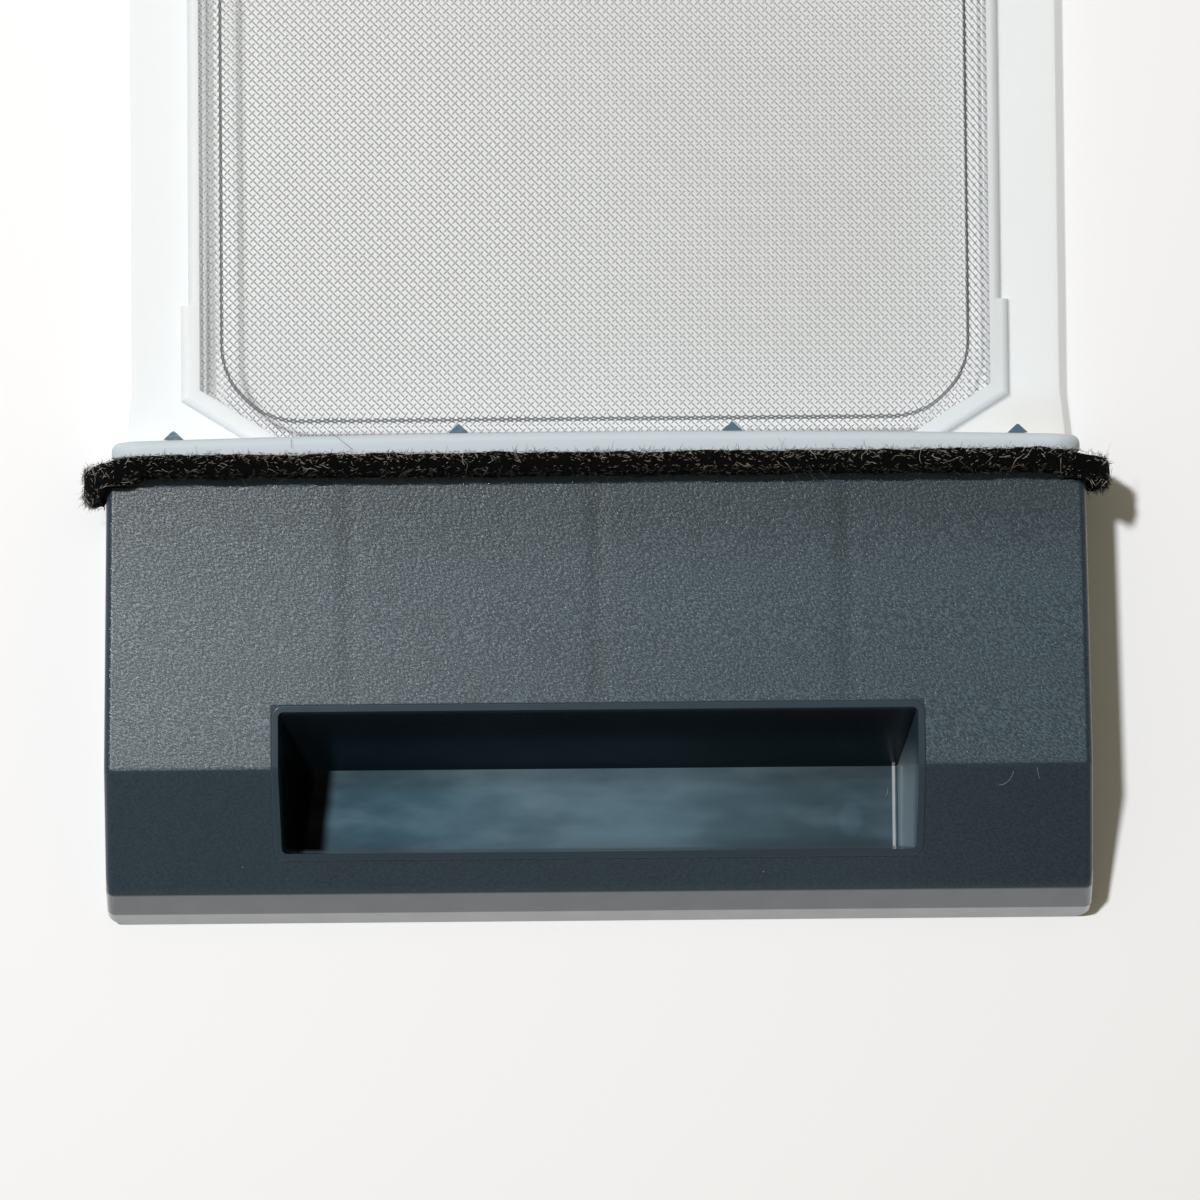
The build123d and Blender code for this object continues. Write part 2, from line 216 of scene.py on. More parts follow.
class Term:
    """One output of a shader node, with the sums that the finishes are written in."""

    def __init__(self, graph, socket):
        self.graph = graph
        self.socket = socket

    def sum(self, operation, *values):
        """The result of one Math node."""
        return self.graph.node("ShaderNodeMath", {"operation": operation}, dict(enumerate(values)))["Value"]

    def __add__(self, other):
        return self.sum("ADD", self, other)

    def __radd__(self, other):
        return self.sum("ADD", other, self)

    def __sub__(self, other):
        return self.sum("SUBTRACT", self, other)

    def __rsub__(self, other):
        return self.sum("SUBTRACT", other, self)

    def __mul__(self, other):
        return self.sum("MULTIPLY", self, other)

    def __rmul__(self, other):
        return self.sum("MULTIPLY", other, self)

    def __truediv__(self, other):
        return self.sum("DIVIDE", self, other)

    def __rtruediv__(self, other):
        return self.sum("DIVIDE", other, self)

    def __pow__(self, other):
        return self.sum("POWER", self, other)

    def __abs__(self):
        return self.sum("ABSOLUTE", self)

    def highest(self, other):
        return self.sum("MAXIMUM", self, other)

    def lowest(self, other):
        return self.sum("MINIMUM", self, other)


class Outputs:
    """The outputs of one node, by name or number."""

    def __init__(self, graph, made):
        self.graph = graph
        self.made = made

    def __getitem__(self, name):
        return Term(self.graph, self.made.outputs[name])


class Graph:
    """The node tree of one material."""

    def __init__(self, tree):
        self.tree = tree

    def node(self, kind, settings=None, inputs=None):
        """A new node with its settings, then its socket values and links."""
        made = self.tree.nodes.new(kind)
        for name, value in (settings or {}).items():
            setattr(made, name, value)
        for name, value in (inputs or {}).items():
            if isinstance(value, Term):
                self.tree.links.new(value.socket, made.inputs[name])
            else:
                made.inputs[name].default_value = value
        return Outputs(self, made)

    def smooth(self, value, low, high):
        """Nothing below low, one above high, and a soft step between them."""
        settings = {"interpolation_type": "SMOOTHSTEP"}
        inputs = {"Value": value, "From Min": low, "From Max": high}
        return self.node("ShaderNodeMapRange", settings, inputs)["Result"]

    def fall(self, value, low, high):
        """One below low, nothing above high, and a soft step between them."""
        return 1 - self.smooth(value, low, high)

    def mix(self, factor, first, second):
        """A blend of two colours."""
        inputs = {0: factor, 6: first, 7: second}
        return self.node("ShaderNodeMix", {"data_type": "RGBA"}, inputs)[2]

    def tint(self, tone, value):
        """A colour made darker or lighter by a value."""
        return self.node("ShaderNodeVectorMath", {"operation": "SCALE"}, {0: tone, "Scale": value})[0]

    def scaled(self, place, factors):
        """A place stretched along its axes."""
        return self.node("ShaderNodeVectorMath", {"operation": "MULTIPLY"}, {0: place, 1: factors})[0]

    def noise(self, place, width, detail=2.0):
        """Cloudy noise whose blotches are about width across."""
        inputs = {"Vector": place, "Scale": 1 / width, "Detail": detail}
        return self.node("ShaderNodeTexNoise", None, inputs)["Fac"]

    def bump(self, height, depth):
        """A relief of the given depth, for a shader's normal."""
        inputs = {"Height": height, "Distance": depth, "Strength": 1.0}
        return self.node("ShaderNodeBump", None, inputs)["Normal"]

    def place(self):
        """The surface's place in the part, in metres."""
        return self.node("ShaderNodeTexCoord")["Object"]

    def axes(self, vector):
        """The three parts of a vector."""
        parts = self.node("ShaderNodeSeparateXYZ", None, {0: vector})
        return parts["X"], parts["Y"], parts["Z"]

    def facing(self):
        """The three parts of the surface's own direction."""
        return self.axes(self.node("ShaderNodeTexCoord")["Normal"])


def opaque(tone):
    """A colour with its full alpha."""
    return (*tone, 1.0)


def finish_material(name, paint):
    """A new material whose shader sockets come from paint(graph)."""
    material = bpy.data.materials.new(name)
    material.use_nodes = True
    tree = material.node_tree
    tree.nodes.clear()
    graph = Graph(tree)
    shader = graph.node("ShaderNodeBsdfPrincipled", None, paint(graph))["BSDF"]
    graph.node("ShaderNodeOutputMaterial", None, {"Surface": shader})
    return material


def dust_flecks(graph, place, spacing, radius, rarity):
    """Small round flecks scattered far apart."""
    inputs = {"Vector": place, "Scale": 1 / spacing}
    cells = graph.node("ShaderNodeTexVoronoi", None, inputs)
    chance = graph.axes(cells["Color"])[0]
    return graph.fall(cells["Distance"], 0.5 * radius / spacing, radius / spacing) * graph.smooth(
        chance, rarity, rarity + 0.01)


class HandleZones:
    """Where each face of the handle lies, as masks for its finish."""

    def __init__(self, graph, settings):
        self.place = graph.place()
        self.x, self.y, self.z = graph.axes(self.place)
        right, back, self.up = graph.facing()
        middle = (settings.pocket_back + settings.pocket_front) / 2
        half_depth = (settings.pocket_back - settings.pocket_front) / 2
        beyond = (abs(self.x) - settings.pocket_half).highest(abs(self.y - middle) - half_depth)
        outside = graph.smooth(beyond, settings.rim_width - 0.2 * MM, settings.rim_width + 0.2 * MM)
        high = graph.smooth(self.z, settings.top_height, settings.top_height + 1 * MM)
        self.top = outside * graph.smooth(self.up, 0.97, 0.995) * high
        self.front = outside * graph.smooth(self.up, 0.8, 0.86) * (1 - self.top)
        self.neck = graph.smooth(self.y, SHOULDER + 0.1 * MM, SHOULDER + 0.4 * MM)
        self.pocket = graph.fall(beyond, -1.0 * MM, 0.5 * MM)
        low = graph.fall(self.z, settings.pocket_floor + 2 * MM, settings.pocket_floor + 5 * MM)
        self.floor = self.pocket * graph.smooth(self.up, 0.7, 0.95) * low
        self.back_wall = self.pocket * graph.fall(back, -0.7, -0.5)
        self.right_end = self.pocket * graph.fall(right, -0.9, -0.6)
        self.left_end = self.pocket * graph.smooth(right, 0.5, 0.7)
        deep = graph.fall(self.z, settings.pocket_floor + 1 * MM, settings.pocket_floor + 3 * MM)
        self.left_cove = self.pocket * graph.smooth(right, 0.1, 0.3) * deep
        # right_cove: a thin line along the floor's right end that carries a painted highlight.
        deep = graph.fall(self.z, settings.pocket_floor + 1.2 * MM, settings.pocket_floor + 1.8 * MM)
        line = graph.fall(abs(self.x - settings.floor_cove), 0.2 * MM, 0.5 * MM)
        self.right_cove = self.pocket * line * deep * graph.smooth(self.up, 0.0, 0.2)
        # lit: where the painted shadow on the floor's left end stops, slanting along the floor.
        along = self.y - (settings.floor_back + settings.floor_front) / 2 - 2.5 * MM
        slanted = self.x - along * 0.12
        self.lit = graph.smooth(slanted, settings.shadow_edge, settings.shadow_edge + 3.5 * MM)


def moulded_grain(graph, settings, zones):
    """Tone and relief of the grain's short diagonal strokes."""
    stretch = {"Vector": zones.place, "Rotation": (0.0, 0.0, -0.6), "Scale": (2.0, 0.68, 1.0)}
    strokes = graph.node("ShaderNodeMapping", {"vector_type": "TEXTURE"}, stretch)["Vector"]
    fine = graph.smooth(graph.noise(strokes, settings.grain_size, 2.0), 0.38, 0.62)
    cells = {"Vector": strokes, "Scale": 1 / settings.grain_size}
    pebbles = graph.node("ShaderNodeTexVoronoi", {"feature": "SMOOTH_F1"}, cells)["Distance"]
    return fine, (fine * 0.6 + pebbles * 0.6) * (zones.top + zones.front * 0.7)


def sink_marks(graph, settings, zones):
    """Shallow marks in the top, above the ribs inside; the mask gives their relief and a painted shade."""
    lane = abs(abs(abs(zones.x) - settings.rib_pitch / 2) - settings.rib_pitch / 2)
    return graph.fall(lane, 0.0, settings.sink_width) * zones.top


def top_highlight_haze(graph, zones, fine):
    """Painted highlight: a pale haze on the top, strongest at the front of its left end, where the light's
    reflection falls.
    """
    from_left = graph.fall(zones.x, -130 * MM, 60 * MM)
    from_front = graph.fall(zones.y, -150 * MM, -88 * MM)
    return zones.top * from_left * (0.15 + from_front * 0.85) * (0.045 + fine * 0.06)


def floor_smudges_and_sheen(graph, settings, zones, smudge):
    """Colour of the pocket's floor: a painted blue sheen, bluer to the left and brighter in the middle,
    smudges, a thumb mark, painted shade along the back and front edges and a painted shadow at the left end.
    """
    mark_x = (zones.x - settings.mark_across) / (3.4 * MM)
    mark_y = (zones.y - settings.mark_along) / (4.6 * MM)
    mark = graph.fall(mark_x ** 2 + mark_y ** 2, 0.3, 1.3)
    # centre is a painted sheen, brighter in the middle of the floor; back_edge and front_edge are painted
    # shade along the floor's edges.
    centre = graph.fall(abs(zones.x + 4 * MM), 15 * MM, 75 * MM)
    back_edge = graph.smooth(zones.y, settings.floor_back - 5.5 * MM, settings.floor_back)
    front_edge = graph.fall(zones.y, settings.floor_front, settings.floor_front + 4.5 * MM)
    tone = 0.52 + smudge * 0.36 + centre * 0.42 + mark * 0.2
    # zones.lit leaves a painted shadow on the floor's left end; the smudges and the thumb mark are marks on
    # the floor.
    tone = tone * zones.lit * (1 - back_edge * 0.4 - front_edge * 0.25)
    left = graph.fall(zones.x, -75 * MM, -10 * MM)
    return graph.tint(graph.mix(left, opaque(settings.sheen), opaque(settings.left_sheen)), tone)


def slate_plastic(settings):
    """Dark moulded plastic: grained on the top, smooth on the front, smudged in the pocket, with painted
    shade, shadow, sheen and highlights in places.
    """

    def paint(graph):
        zones = HandleZones(graph, settings)
        top = zones.top
        fine, grain = moulded_grain(graph, settings, zones)
        sink = sink_marks(graph, settings, zones)
        polish = graph.noise(zones.place, 9 * MM, 3.0) * 0.06
        clouds = graph.noise(zones.place, 35 * MM, 2.0)
        dragged = graph.scaled(zones.place, (0.8, 2.6, 1.0))
        smudge = graph.smooth(graph.noise(dragged, 24 * MM, 3.0), 0.30, 0.70) * zones.floor
        facing_up = graph.smooth(zones.up, 0.5, 0.8)
        flecks = dust_flecks(graph, zones.place, 5.5 * MM, 0.16 * MM, 0.86) * facing_up
        near_neck = graph.smooth(zones.y, -112 * MM, -88 * MM)
        far_right = graph.smooth(zones.x, 50 * MM, 120 * MM)
        # The top gets a painted shade towards the neck and over the sink marks.
        tone = 0.93 + clouds * 0.14 + top * (0.42 - near_neck * 0.5) - sink * 0.24
        tone = tone * (1 + (fine - 0.5) * top * 0.9)
        # The front gets a painted shade towards its right end, and the ledge at the neck, in the felt's
        # shade, gets painted light.
        tone = tone + ((fine - 0.5) * 0.3 - far_right * 0.18) * zones.front + zones.neck * 2.2
        # Painted shade: the pocket's back wall and left end are darkened.
        tone = tone - zones.back_wall * 0.85 - zones.left_end * 0.85
        dust_and_highlight = opaque(settings.dust_and_highlight)
        base = graph.tint(graph.mix(top, opaque(settings.slate), opaque(settings.worn)), tone)
        # Painted highlight on the top's left front, in the pale dust colour.
        base = graph.mix(top_highlight_haze(graph, zones, fine), base, dust_and_highlight)
        # Painted light on the pocket's right end wall, faded out near its back to leave it in painted
        # shadow.
        lit_end_wall = zones.right_end * graph.fall(zones.y, -164 * MM, -150 * MM)
        base = graph.mix(lit_end_wall, base, opaque(settings.lit_end))
        base = graph.mix(zones.floor, base, floor_smudges_and_sheen(graph, settings, zones, smudge))
        # Painted shadow: the left cove of the pocket floor is made black.
        base = graph.mix(zones.left_cove, base, opaque((0.0, 0.0, 0.0)))
        # Painted highlight along the right cove of the pocket floor.
        base = graph.mix(zones.right_cove * 0.65, base, dust_and_highlight)
        base = graph.mix(flecks * (0.75 - top * 0.45), base, dust_and_highlight)
        gloss = settings.gloss_roughness + polish + smudge * 0.12
        rough = gloss + top * (settings.grain_roughness - settings.gloss_roughness) + flecks * 0.3
        # Painted shadow: a black metallic finish takes the reflection off the shaded left end of the floor
        # and off the left cove.
        shaded = (zones.floor * (1 - zones.lit)).highest(zones.left_cove)
        nose = graph.fall(zones.z, settings.lip_height, settings.lip_height + 1 * MM) * (1 - zones.pocket)
        return {"Base Color": base, "Roughness": rough, "Metallic": shaded * 0.95, "Specular IOR Level": 0.5,
                "Coat Weight": nose * (0.75 + polish * 8), "Coat Roughness": 0.15,
                "Normal": graph.bump(grain - sink * 0.8, settings.grain_depth)}

    return finish_material("slate_plastic_finish", paint)


def white_plastic(settings):
    """Satin white plastic, with a painted bluish shade on the flange and on the rim round the screen."""

    def paint(graph):
        place = graph.place()
        x, y, z = graph.axes(place)
        clouds = graph.noise(place, 22 * MM, 3.0)
        fine = graph.noise(place, 0.9 * MM, 2.0)
        flange = graph.smooth(z, settings.flange_foot, settings.flange_foot + 1.4 * MM)
        rim = graph.smooth(z, settings.rail_top, settings.rim_top) * (1 - flange)
        on_rail = graph.fall(z, settings.rail_top, settings.rail_top + 0.5 * MM)
        right_corner = graph.fall(y, -68 * MM, -54 * MM) * graph.smooth(x, 0, 80 * MM)
        tone = 0.97 + clouds * 0.05
        # Painted shade: the flange is bluish, and the rim greyer, most on its right side away from the
        # light.
        base = graph.tint(graph.mix(flange, opaque(settings.white), opaque(settings.shade)), tone)
        shaded = rim * (0.1 + graph.smooth(x, -40 * MM, 60 * MM) * 0.28)
        base = graph.mix(shaded, base, opaque(settings.shade))
        # Painted shadow on the rails in the near right corner.
        base = graph.mix(on_rail * right_corner * clouds * 0.5, base, opaque(settings.corner_shade))
        flecks = dust_flecks(graph, place, 7 * MM, 0.14 * MM, 0.9)
        base = graph.mix(flecks * 0.5, base, opaque(settings.speck))
        return {"Base Color": base, "Roughness": settings.roughness + clouds * 0.08,
                "Subsurface Weight": 0.5, "Subsurface Radius": (1.0, 1.0, 1.0), "Subsurface Scale": 4 * MM,
                "Normal": graph.bump(fine, 0.02 * MM)}

    return finish_material("white_plastic_finish", paint)


def steel_wire(settings, cloth):
    """Drawn steel wire, with a painted highlight where it passes over another, brighter on one family of
    wires and on the left brim, and painted shade along the crease.
    """

    def paint(graph):
        place = graph.place()
        x, y = graph.axes(place)[:2]
        patches = graph.noise(place, 18 * MM, 3.0)
        streaks = graph.noise(place, 0.5 * MM, 2.0)
        radius, half, middle, half_y = cloth.outline()
        across = abs(x) - (half - radius)
        along = abs(y - middle) - (half_y - radius)
        beyond = (across.highest(0) ** 2 + along.highest(0) ** 2) ** 0.5
        depth = radius - beyond - across.highest(along).lowest(0)
        crease = graph.fall(abs(depth - settings.brim - settings.crease / 2), 0.5 * MM, 0.9 * MM)
        over = graph.node("ShaderNodeAttribute", {"attribute_name": "glint"})["Fac"]
        glinting = graph.smooth(over, 0.1, 0.8)
        tone = 0.72 + patches * 0.3 + streaks * 0.25
        base = graph.mix(glinting, opaque(settings.steel), opaque(settings.glint))
        # Painted shade along the crease, with no metal reflection.
        base = graph.mix(crease, base, opaque(settings.crease_shade))
        return {"Base Color": graph.tint(base, tone), "Metallic": (0.6 - glinting * 0.5) * (1 - crease),
                "Roughness": settings.roughness + streaks * 0.12}

    return finish_material("steel_wire_finish", paint)


def felt_finish(settings):
    """Matt black needle felt."""

    def paint(graph):
        place = graph.place()
        tufts = graph.noise(place, 0.8 * MM, 4.0)
        clumps = graph.noise(place, 6 * MM, 2.0)
        tone = 0.5 + tufts * 0.9 + clumps * 0.3
        return {"Base Color": graph.tint(settings.black, tone), "Roughness": 0.95,
                "Specular IOR Level": 0.05, "Normal": graph.bump(tufts, 0.35 * MM)}

    return finish_material("felt_finish", paint)


def fibre_finish(name, dark, pale, start):
    """Loose fibres: start is the share of dark ones; the pale ones are lighter fibres that also stand in as
    painted glints, and the strip's near side, in shade, gets few of them as painted shade.
    """

    def paint(graph):
        place = graph.place()
        x, y = graph.axes(place)[:2]
        chance = graph.node("ShaderNodeNewGeometry")["Random Per Island"]
        near = FELT_BOX[0].y
        far_side = graph.smooth(y, near + 0.8 * MM, near + 3.2 * MM)
        ends = graph.smooth(abs(x), 118 * MM, 127 * MM)
        # Fewer pale fibres on the near side: painted shade.
        light = graph.smooth(chance, start, 0.5 + start / 2) * (0.18 + far_side.highest(ends) * 0.82)
        base = graph.mix(light, opaque(dark), opaque(pale))
        streak = graph.noise(place, 0.7 * MM, 2.0)
        return {"Base Color": graph.tint(base, 0.8 + streak * 0.4), "Roughness": 0.45,
                "Specular IOR Level": 0.15}

    return finish_material(name, paint)


def hair_finish(settings):
    """Shed hairs: dark on the flange, pale in front."""

    def paint(graph):
        place = graph.place()
        streak = graph.noise(place, 0.7 * MM, 2.0)
        behind = graph.smooth(graph.axes(place)[1], -100 * MM, -90 * MM)
        base = graph.mix(behind, opaque(settings.hair_pale), opaque(settings.hair_dark))
        return {"Base Color": graph.tint(base, 0.7 + streak * 0.5), "Roughness": 0.5}

    return finish_material("shed_hair_finish", paint)


def floor_finish(settings):
    """Plain pale table top."""

    def paint(graph):
        haze = graph.noise(graph.place(), 0.35, 2.0)
        return {"Base Color": graph.tint(settings.floor, 0.99 + haze * 0.02), "Roughness": 0.6}

    return finish_material("table_finish", paint)


def new_piece(name, points, faces, material):
    """A smooth mesh object in the scene."""
    mesh = bpy.data.meshes.new(name)
    mesh.from_pydata(points, [], faces)
    mesh.validate()
    mesh.polygons.foreach_set("use_smooth", [True] * len(mesh.polygons))
    mesh.materials.append(material)
    mesh.update()
    piece = bpy.data.objects.new(name, mesh)
    bpy.context.scene.collection.objects.link(piece)
    return piece


def add_piece(name, points, faces, material, node):
    """A piece that stands for a node of the frame."""
    piece = new_piece(name, points, faces, material)
    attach(piece, "root")
    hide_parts(node)
    return piece


def unit(vectors):
    """Vectors of length one."""
    return vectors / np.maximum(np.linalg.norm(vectors, axis=-1, keepdims=True), 1e-12)


def tube(path, radius, sides, side_hint):
    """Points and faces of a closed thin tube along a path; side_hint is never along the path."""
    along = unit(np.gradient(path, axis=0))
    side = unit(np.cross(along, side_hint))
    rise = np.cross(side, along)
    turns = np.arange(sides) * TAU / sides
    ring = np.cos(turns)[None, :, None] * rise[:, None] + np.sin(turns)[None, :, None] * side[:, None]
    points = (path[:, None] + ring * np.reshape(radius, (-1, 1, 1))).reshape(-1, 3)
    row = np.arange(sides)
    first = np.stack([row, np.roll(row, -1), np.roll(row, -1) + sides, row + sides], axis=1)
    quads = (first[None] + (np.arange(len(path) - 1) * sides)[:, None, None]).reshape(-1, 4)
    last = (len(path) - 1) * sides
    return points, quads, [tuple(range(sides))[::-1], tuple(range(last, last + sides))]


class Bundle:
    """Many tubes gathered into one mesh."""

    def __init__(self):
        self.points = []
        self.faces = []
        self.count = 0

    def add(self, path, radius, sides, side_hint):
        """Take in one more tube."""
        points, quads, caps = tube(path, radius, sides, side_hint)
        self.points.append(points)
        self.faces.extend(map(tuple, (quads + self.count).tolist()))
        self.faces.extend(tuple(number + self.count for number in cap) for cap in caps)
        self.count += len(points)

    def mesh(self):
        """Points and faces of all the tubes."""
        return np.concatenate(self.points), self.faces


class WireCloth:
    """Shape of the formed cloth and the lines of its wires."""

    def __init__(self, settings):
        self.settings = settings
        low, high = CLOTH_BOX
        self.half = high.x - settings.edge
        self.near = low.y + settings.edge
        self.far = high.y - settings.edge
        self.base = low.z + 0.3 * MM
        self.middle = (self.near + self.far) / 2
        self.outward = np.linspace(0, settings.crease + settings.brim + 2 * settings.edge, 400)
        self.drop = settings.rise - self.climb(settings.crease + settings.brim - self.outward)
        steps = np.hypot(np.diff(self.outward), np.diff(self.drop))
        self.length = np.concatenate([[0.0], np.cumsum(steps)])

    def outline(self):
        """Corner radius, half width, middle and half length of the outline that the crease follows."""
        near = self.near - self.settings.near_inset
        return (self.settings.corner + self.settings.brim, self.half - self.settings.side_inset,
                (near + self.far) / 2, (self.far - near) / 2)

    def round_depth(self, x, y):
        """Distance inside the window's sides, following round corners."""
        radius, half, middle, half_y = self.outline()
        across = np.abs(x) - (half - radius)
        along = np.abs(y - middle) - (half_y - radius)
        beyond = np.hypot(np.maximum(across, 0), np.maximum(along, 0))
        return radius - beyond - np.minimum(np.maximum(across, along), 0)

    def depth(self, x, y):
        """Distance inside the window's outline with its cut corners."""
        run = math.hypot(self.settings.gusset_across, self.settings.gusset_along)
        cut_x = self.settings.gusset_along / run
        cut_y = self.settings.gusset_across / run
        half_y = (self.far - self.near) / 2
        across = np.abs(x)
        along = np.abs(y - self.middle)
        corner = cut_x * self.half + cut_y * (half_y - self.settings.gusset_along)
        return np.minimum(np.minimum(self.half - across, half_y - along),
                          corner - cut_x * across - cut_y * along)

    def climb(self, depth):
        """Height over the edge at a depth inside it: a sloping brim, then a steep crease."""
        settings = self.settings
        step = np.clip((depth - settings.brim) / settings.crease, 0, 1)
        slope = np.clip(depth / settings.brim, 0, 1) * settings.brim_rise
        return slope + step * (settings.rise - settings.brim_rise)

    def formed(self, x, y):
        """Where a point of the flat cloth lies once the cloth is pressed over the crease and the brim."""
        settings = self.settings
        probe = 0.01 * MM
        depth = self.round_depth(x, y)
        lean_x = (self.round_depth(x + probe, y) - depth) / probe
        lean_y = (self.round_depth(x, y + probe) - depth) / probe
        beyond = np.maximum(settings.crease + settings.brim - depth, 0)
        pull = beyond - np.interp(beyond, self.length, self.outward)
        x = x + lean_x * pull
        y = y + lean_y * pull
        inside = np.minimum(self.round_depth(x, y), np.maximum(self.depth(x, y), 0))
        return x, y, self.base + self.climb(inside)

    def sway(self, x, y):
        """Slow drift of the weave out of square."""
        drift = 0.35 * MM
        return (x + drift * np.sin(y / 31 / MM + 0.7) * np.cos(x / 47 / MM),
                y + drift * np.cos(x / 37 / MM + 1.9) * np.sin(y / 53 / MM))

    def reach(self):
        """Most wires that can lie between the middle and a corner."""
        span = self.half + (self.far - self.near) / 2 + 5 * self.settings.edge
        return 2 * int(span / self.settings.pitch / math.sqrt(2)) + 4

    def wires(self, family, rows):
        """Paths of some wires of one family, which passes over and under the other."""
        settings = self.settings
        pitch = settings.pitch
        reach = self.reach()
        step = 0.25
        stations = np.arange(-reach, reach + step, step)
        turn = math.sqrt(0.5)
        for row in rows:
            across = row * pitch
            along = stations * pitch
            x = turn * (along - family * across)
            y = turn * (family * along + across) + self.middle
            x, y, z = self.formed(*self.sway(x, y))
            depth = self.depth(x, y)
            inset = self.round_depth(x, y) - settings.brim
            wave = np.cos(math.pi * (stations + row)) * family
            usual = np.abs(2 * stations - np.round(2 * stations)) < 0.01
            near_crease = (inset > -0.7 * MM) & (inset < settings.crease + 0.7 * MM)
            kept = (depth > 0.3 * MM - settings.edge) & (usual | near_crease)
            if kept.sum() < 3:
                continue
            in_crease = (inset > -0.1 * MM) & (inset < settings.crease + 0.1 * MM)
            radius = np.where(in_crease, 0.95, 0.5) * settings.wire
            # shine sets the painted highlight: the warp wires, across the light, glint more than the weft
            # wires, and the left brim, facing the light, more than the right.
            usual_shine, right_shine = (0.25, 0.2) if family > 0 else (-0.1, -0.5)
            left_shine = 0.7
            shine = wave + usual_shine
            aside = (inset < 0) & (np.abs(x) > self.half - settings.brim - 2 * MM)
            shine = np.where(aside, shine + np.where(x < 0, left_shine, right_shine), shine)
            yield np.stack([x, y, z + wave * settings.crimp], axis=1)[kept], radius[kept], shine[kept]


class FeltRing:
    """Path of the felt strip round the neck and the form of its section."""

    def __init__(self, settings):
        self.settings = settings
        low, high = FELT_BOX
        self.inset = settings.thickness / 2
        self.half = high.x - self.inset
        self.low = low.z + self.inset
        self.high = high.z - self.inset
        self.radius = settings.neck_round + self.inset
        self.middle = (low.y + high.y) / 2
        self.half_width = (high.y - low.y) / 2
        straight_x = self.half - self.radius
        straight_z = (self.high - self.low) / 2 - self.radius
        self.straights = (2 * straight_x, 2 * straight_z)
        self.bend = math.pi / 2 * self.radius
        self.length = 2 * sum(self.straights) + 4 * self.bend

    def at(self, place):
        """Point and outward direction in the X-Z plane; place is measured from the top's middle."""
        wide, tall = self.straights
        centre_z = (self.low + self.high) / 2
        runs = [(wide, 0), (self.bend, 1), (tall, 0), (self.bend, 1),
                (wide, 0), (self.bend, 1), (tall, 0), (self.bend, 1)]
        place = np.mod(place + wide / 2, self.length)
        x = np.zeros_like(place)
        z = np.zeros_like(place)
        turn = np.zeros_like(place)
        start = 0.0
        angle = math.pi / 2
        corner = np.array([-wide / 2, tall / 2])
        for span, bends in runs:
            here = (place >= start) & (place <= start + span)
            within = place - start
            if bends:
                swing = angle - within / self.radius
                x = np.where(here, corner[0] + self.radius * np.cos(swing), x)
                z = np.where(here, corner[1] + self.radius * np.sin(swing), z)
                turn = np.where(here, swing, turn)
                angle -= math.pi / 2
            else:
                heading = np.array([math.sin(angle), -math.cos(angle)])
                out = np.array([math.cos(angle), math.sin(angle)])
                x = np.where(here, corner[0] + heading[0] * within + out[0] * self.radius, x)
                z = np.where(here, corner[1] + heading[1] * within + out[1] * self.radius, z)
                turn = np.where(here, angle, turn)
                corner = corner + heading * span
            start += span
        return x, z + centre_z, turn

    def surface(self, place, around):
        """Points, outward directions and headings on the strip's rounded section."""
        x, z, turn = self.at(place)
        square = 0.55
        bulge = np.sign(np.cos(around)) * np.abs(np.cos(around)) ** square
        spread = np.sign(np.sin(around)) * np.abs(np.sin(around)) ** square
        outward = np.stack([np.cos(turn), np.zeros_like(turn), np.sin(turn)], axis=-1)
        points = np.stack([x, np.full_like(x, self.middle), z], axis=-1)
        points = points + outward * (bulge * self.inset)[..., None]
        points[..., 1] += spread * self.half_width
        normal = outward * np.cos(around)[..., None]
        normal[..., 1] += np.sin(around)
        heading = np.stack([np.sin(turn), np.zeros_like(turn), -np.cos(turn)], axis=-1)
        return points, normal, heading

    def settle(self, points):
        """Lean the ends of the strip forward past the shoulder, pressed against the cover's sides."""
        settings = self.settings
        high = COVER_BOX[1]
        settled = points.copy()
        across = np.abs(points[..., 0])
        left = points[..., 0] < 0
        swell = np.clip((points[..., 2] - 30 * MM) / (4 * MM), 0, 1)
        aside = points[..., 1] - self.middle
        settled[..., 1] += aside * np.where(aside > 0, 0.18, 0.06) * swell
        reach = np.where(left, settings.left_lean, settings.right_lean)
        lean_from, lean_run = 116 * MM, 19 * MM
        lean = np.clip((across - lean_from) / lean_run, 0, 1)
        ahead = np.clip(0.5 - aside / (2 * self.half_width), 0, 1)
        settled[..., 1] -= reach * lean * lean * (3 - 2 * lean) * (0.3 + 0.7 * ahead)
        side = high.x - settings.cover_draft * points[..., 2] / high.z
        beside = across - side + settings.cover_round
        behind = settled[..., 1] - SHOULDER + settings.cover_round
        corner = (beside > 0) & (behind > 0)
        reached = np.where(corner, np.hypot(beside, behind), np.maximum(beside, behind))
        push = np.maximum(settings.cover_round + 0.3 * MM - reached, 0)
        share_x = np.where(corner, beside / np.maximum(reached, 1e-9), beside > behind)
        share_y = np.where(corner, behind / np.maximum(reached, 1e-9), beside <= behind)
        settled[..., 0] = np.where(left, -1, 1) * (across + push * share_x)
        settled[..., 1] += push * share_y
        return settled


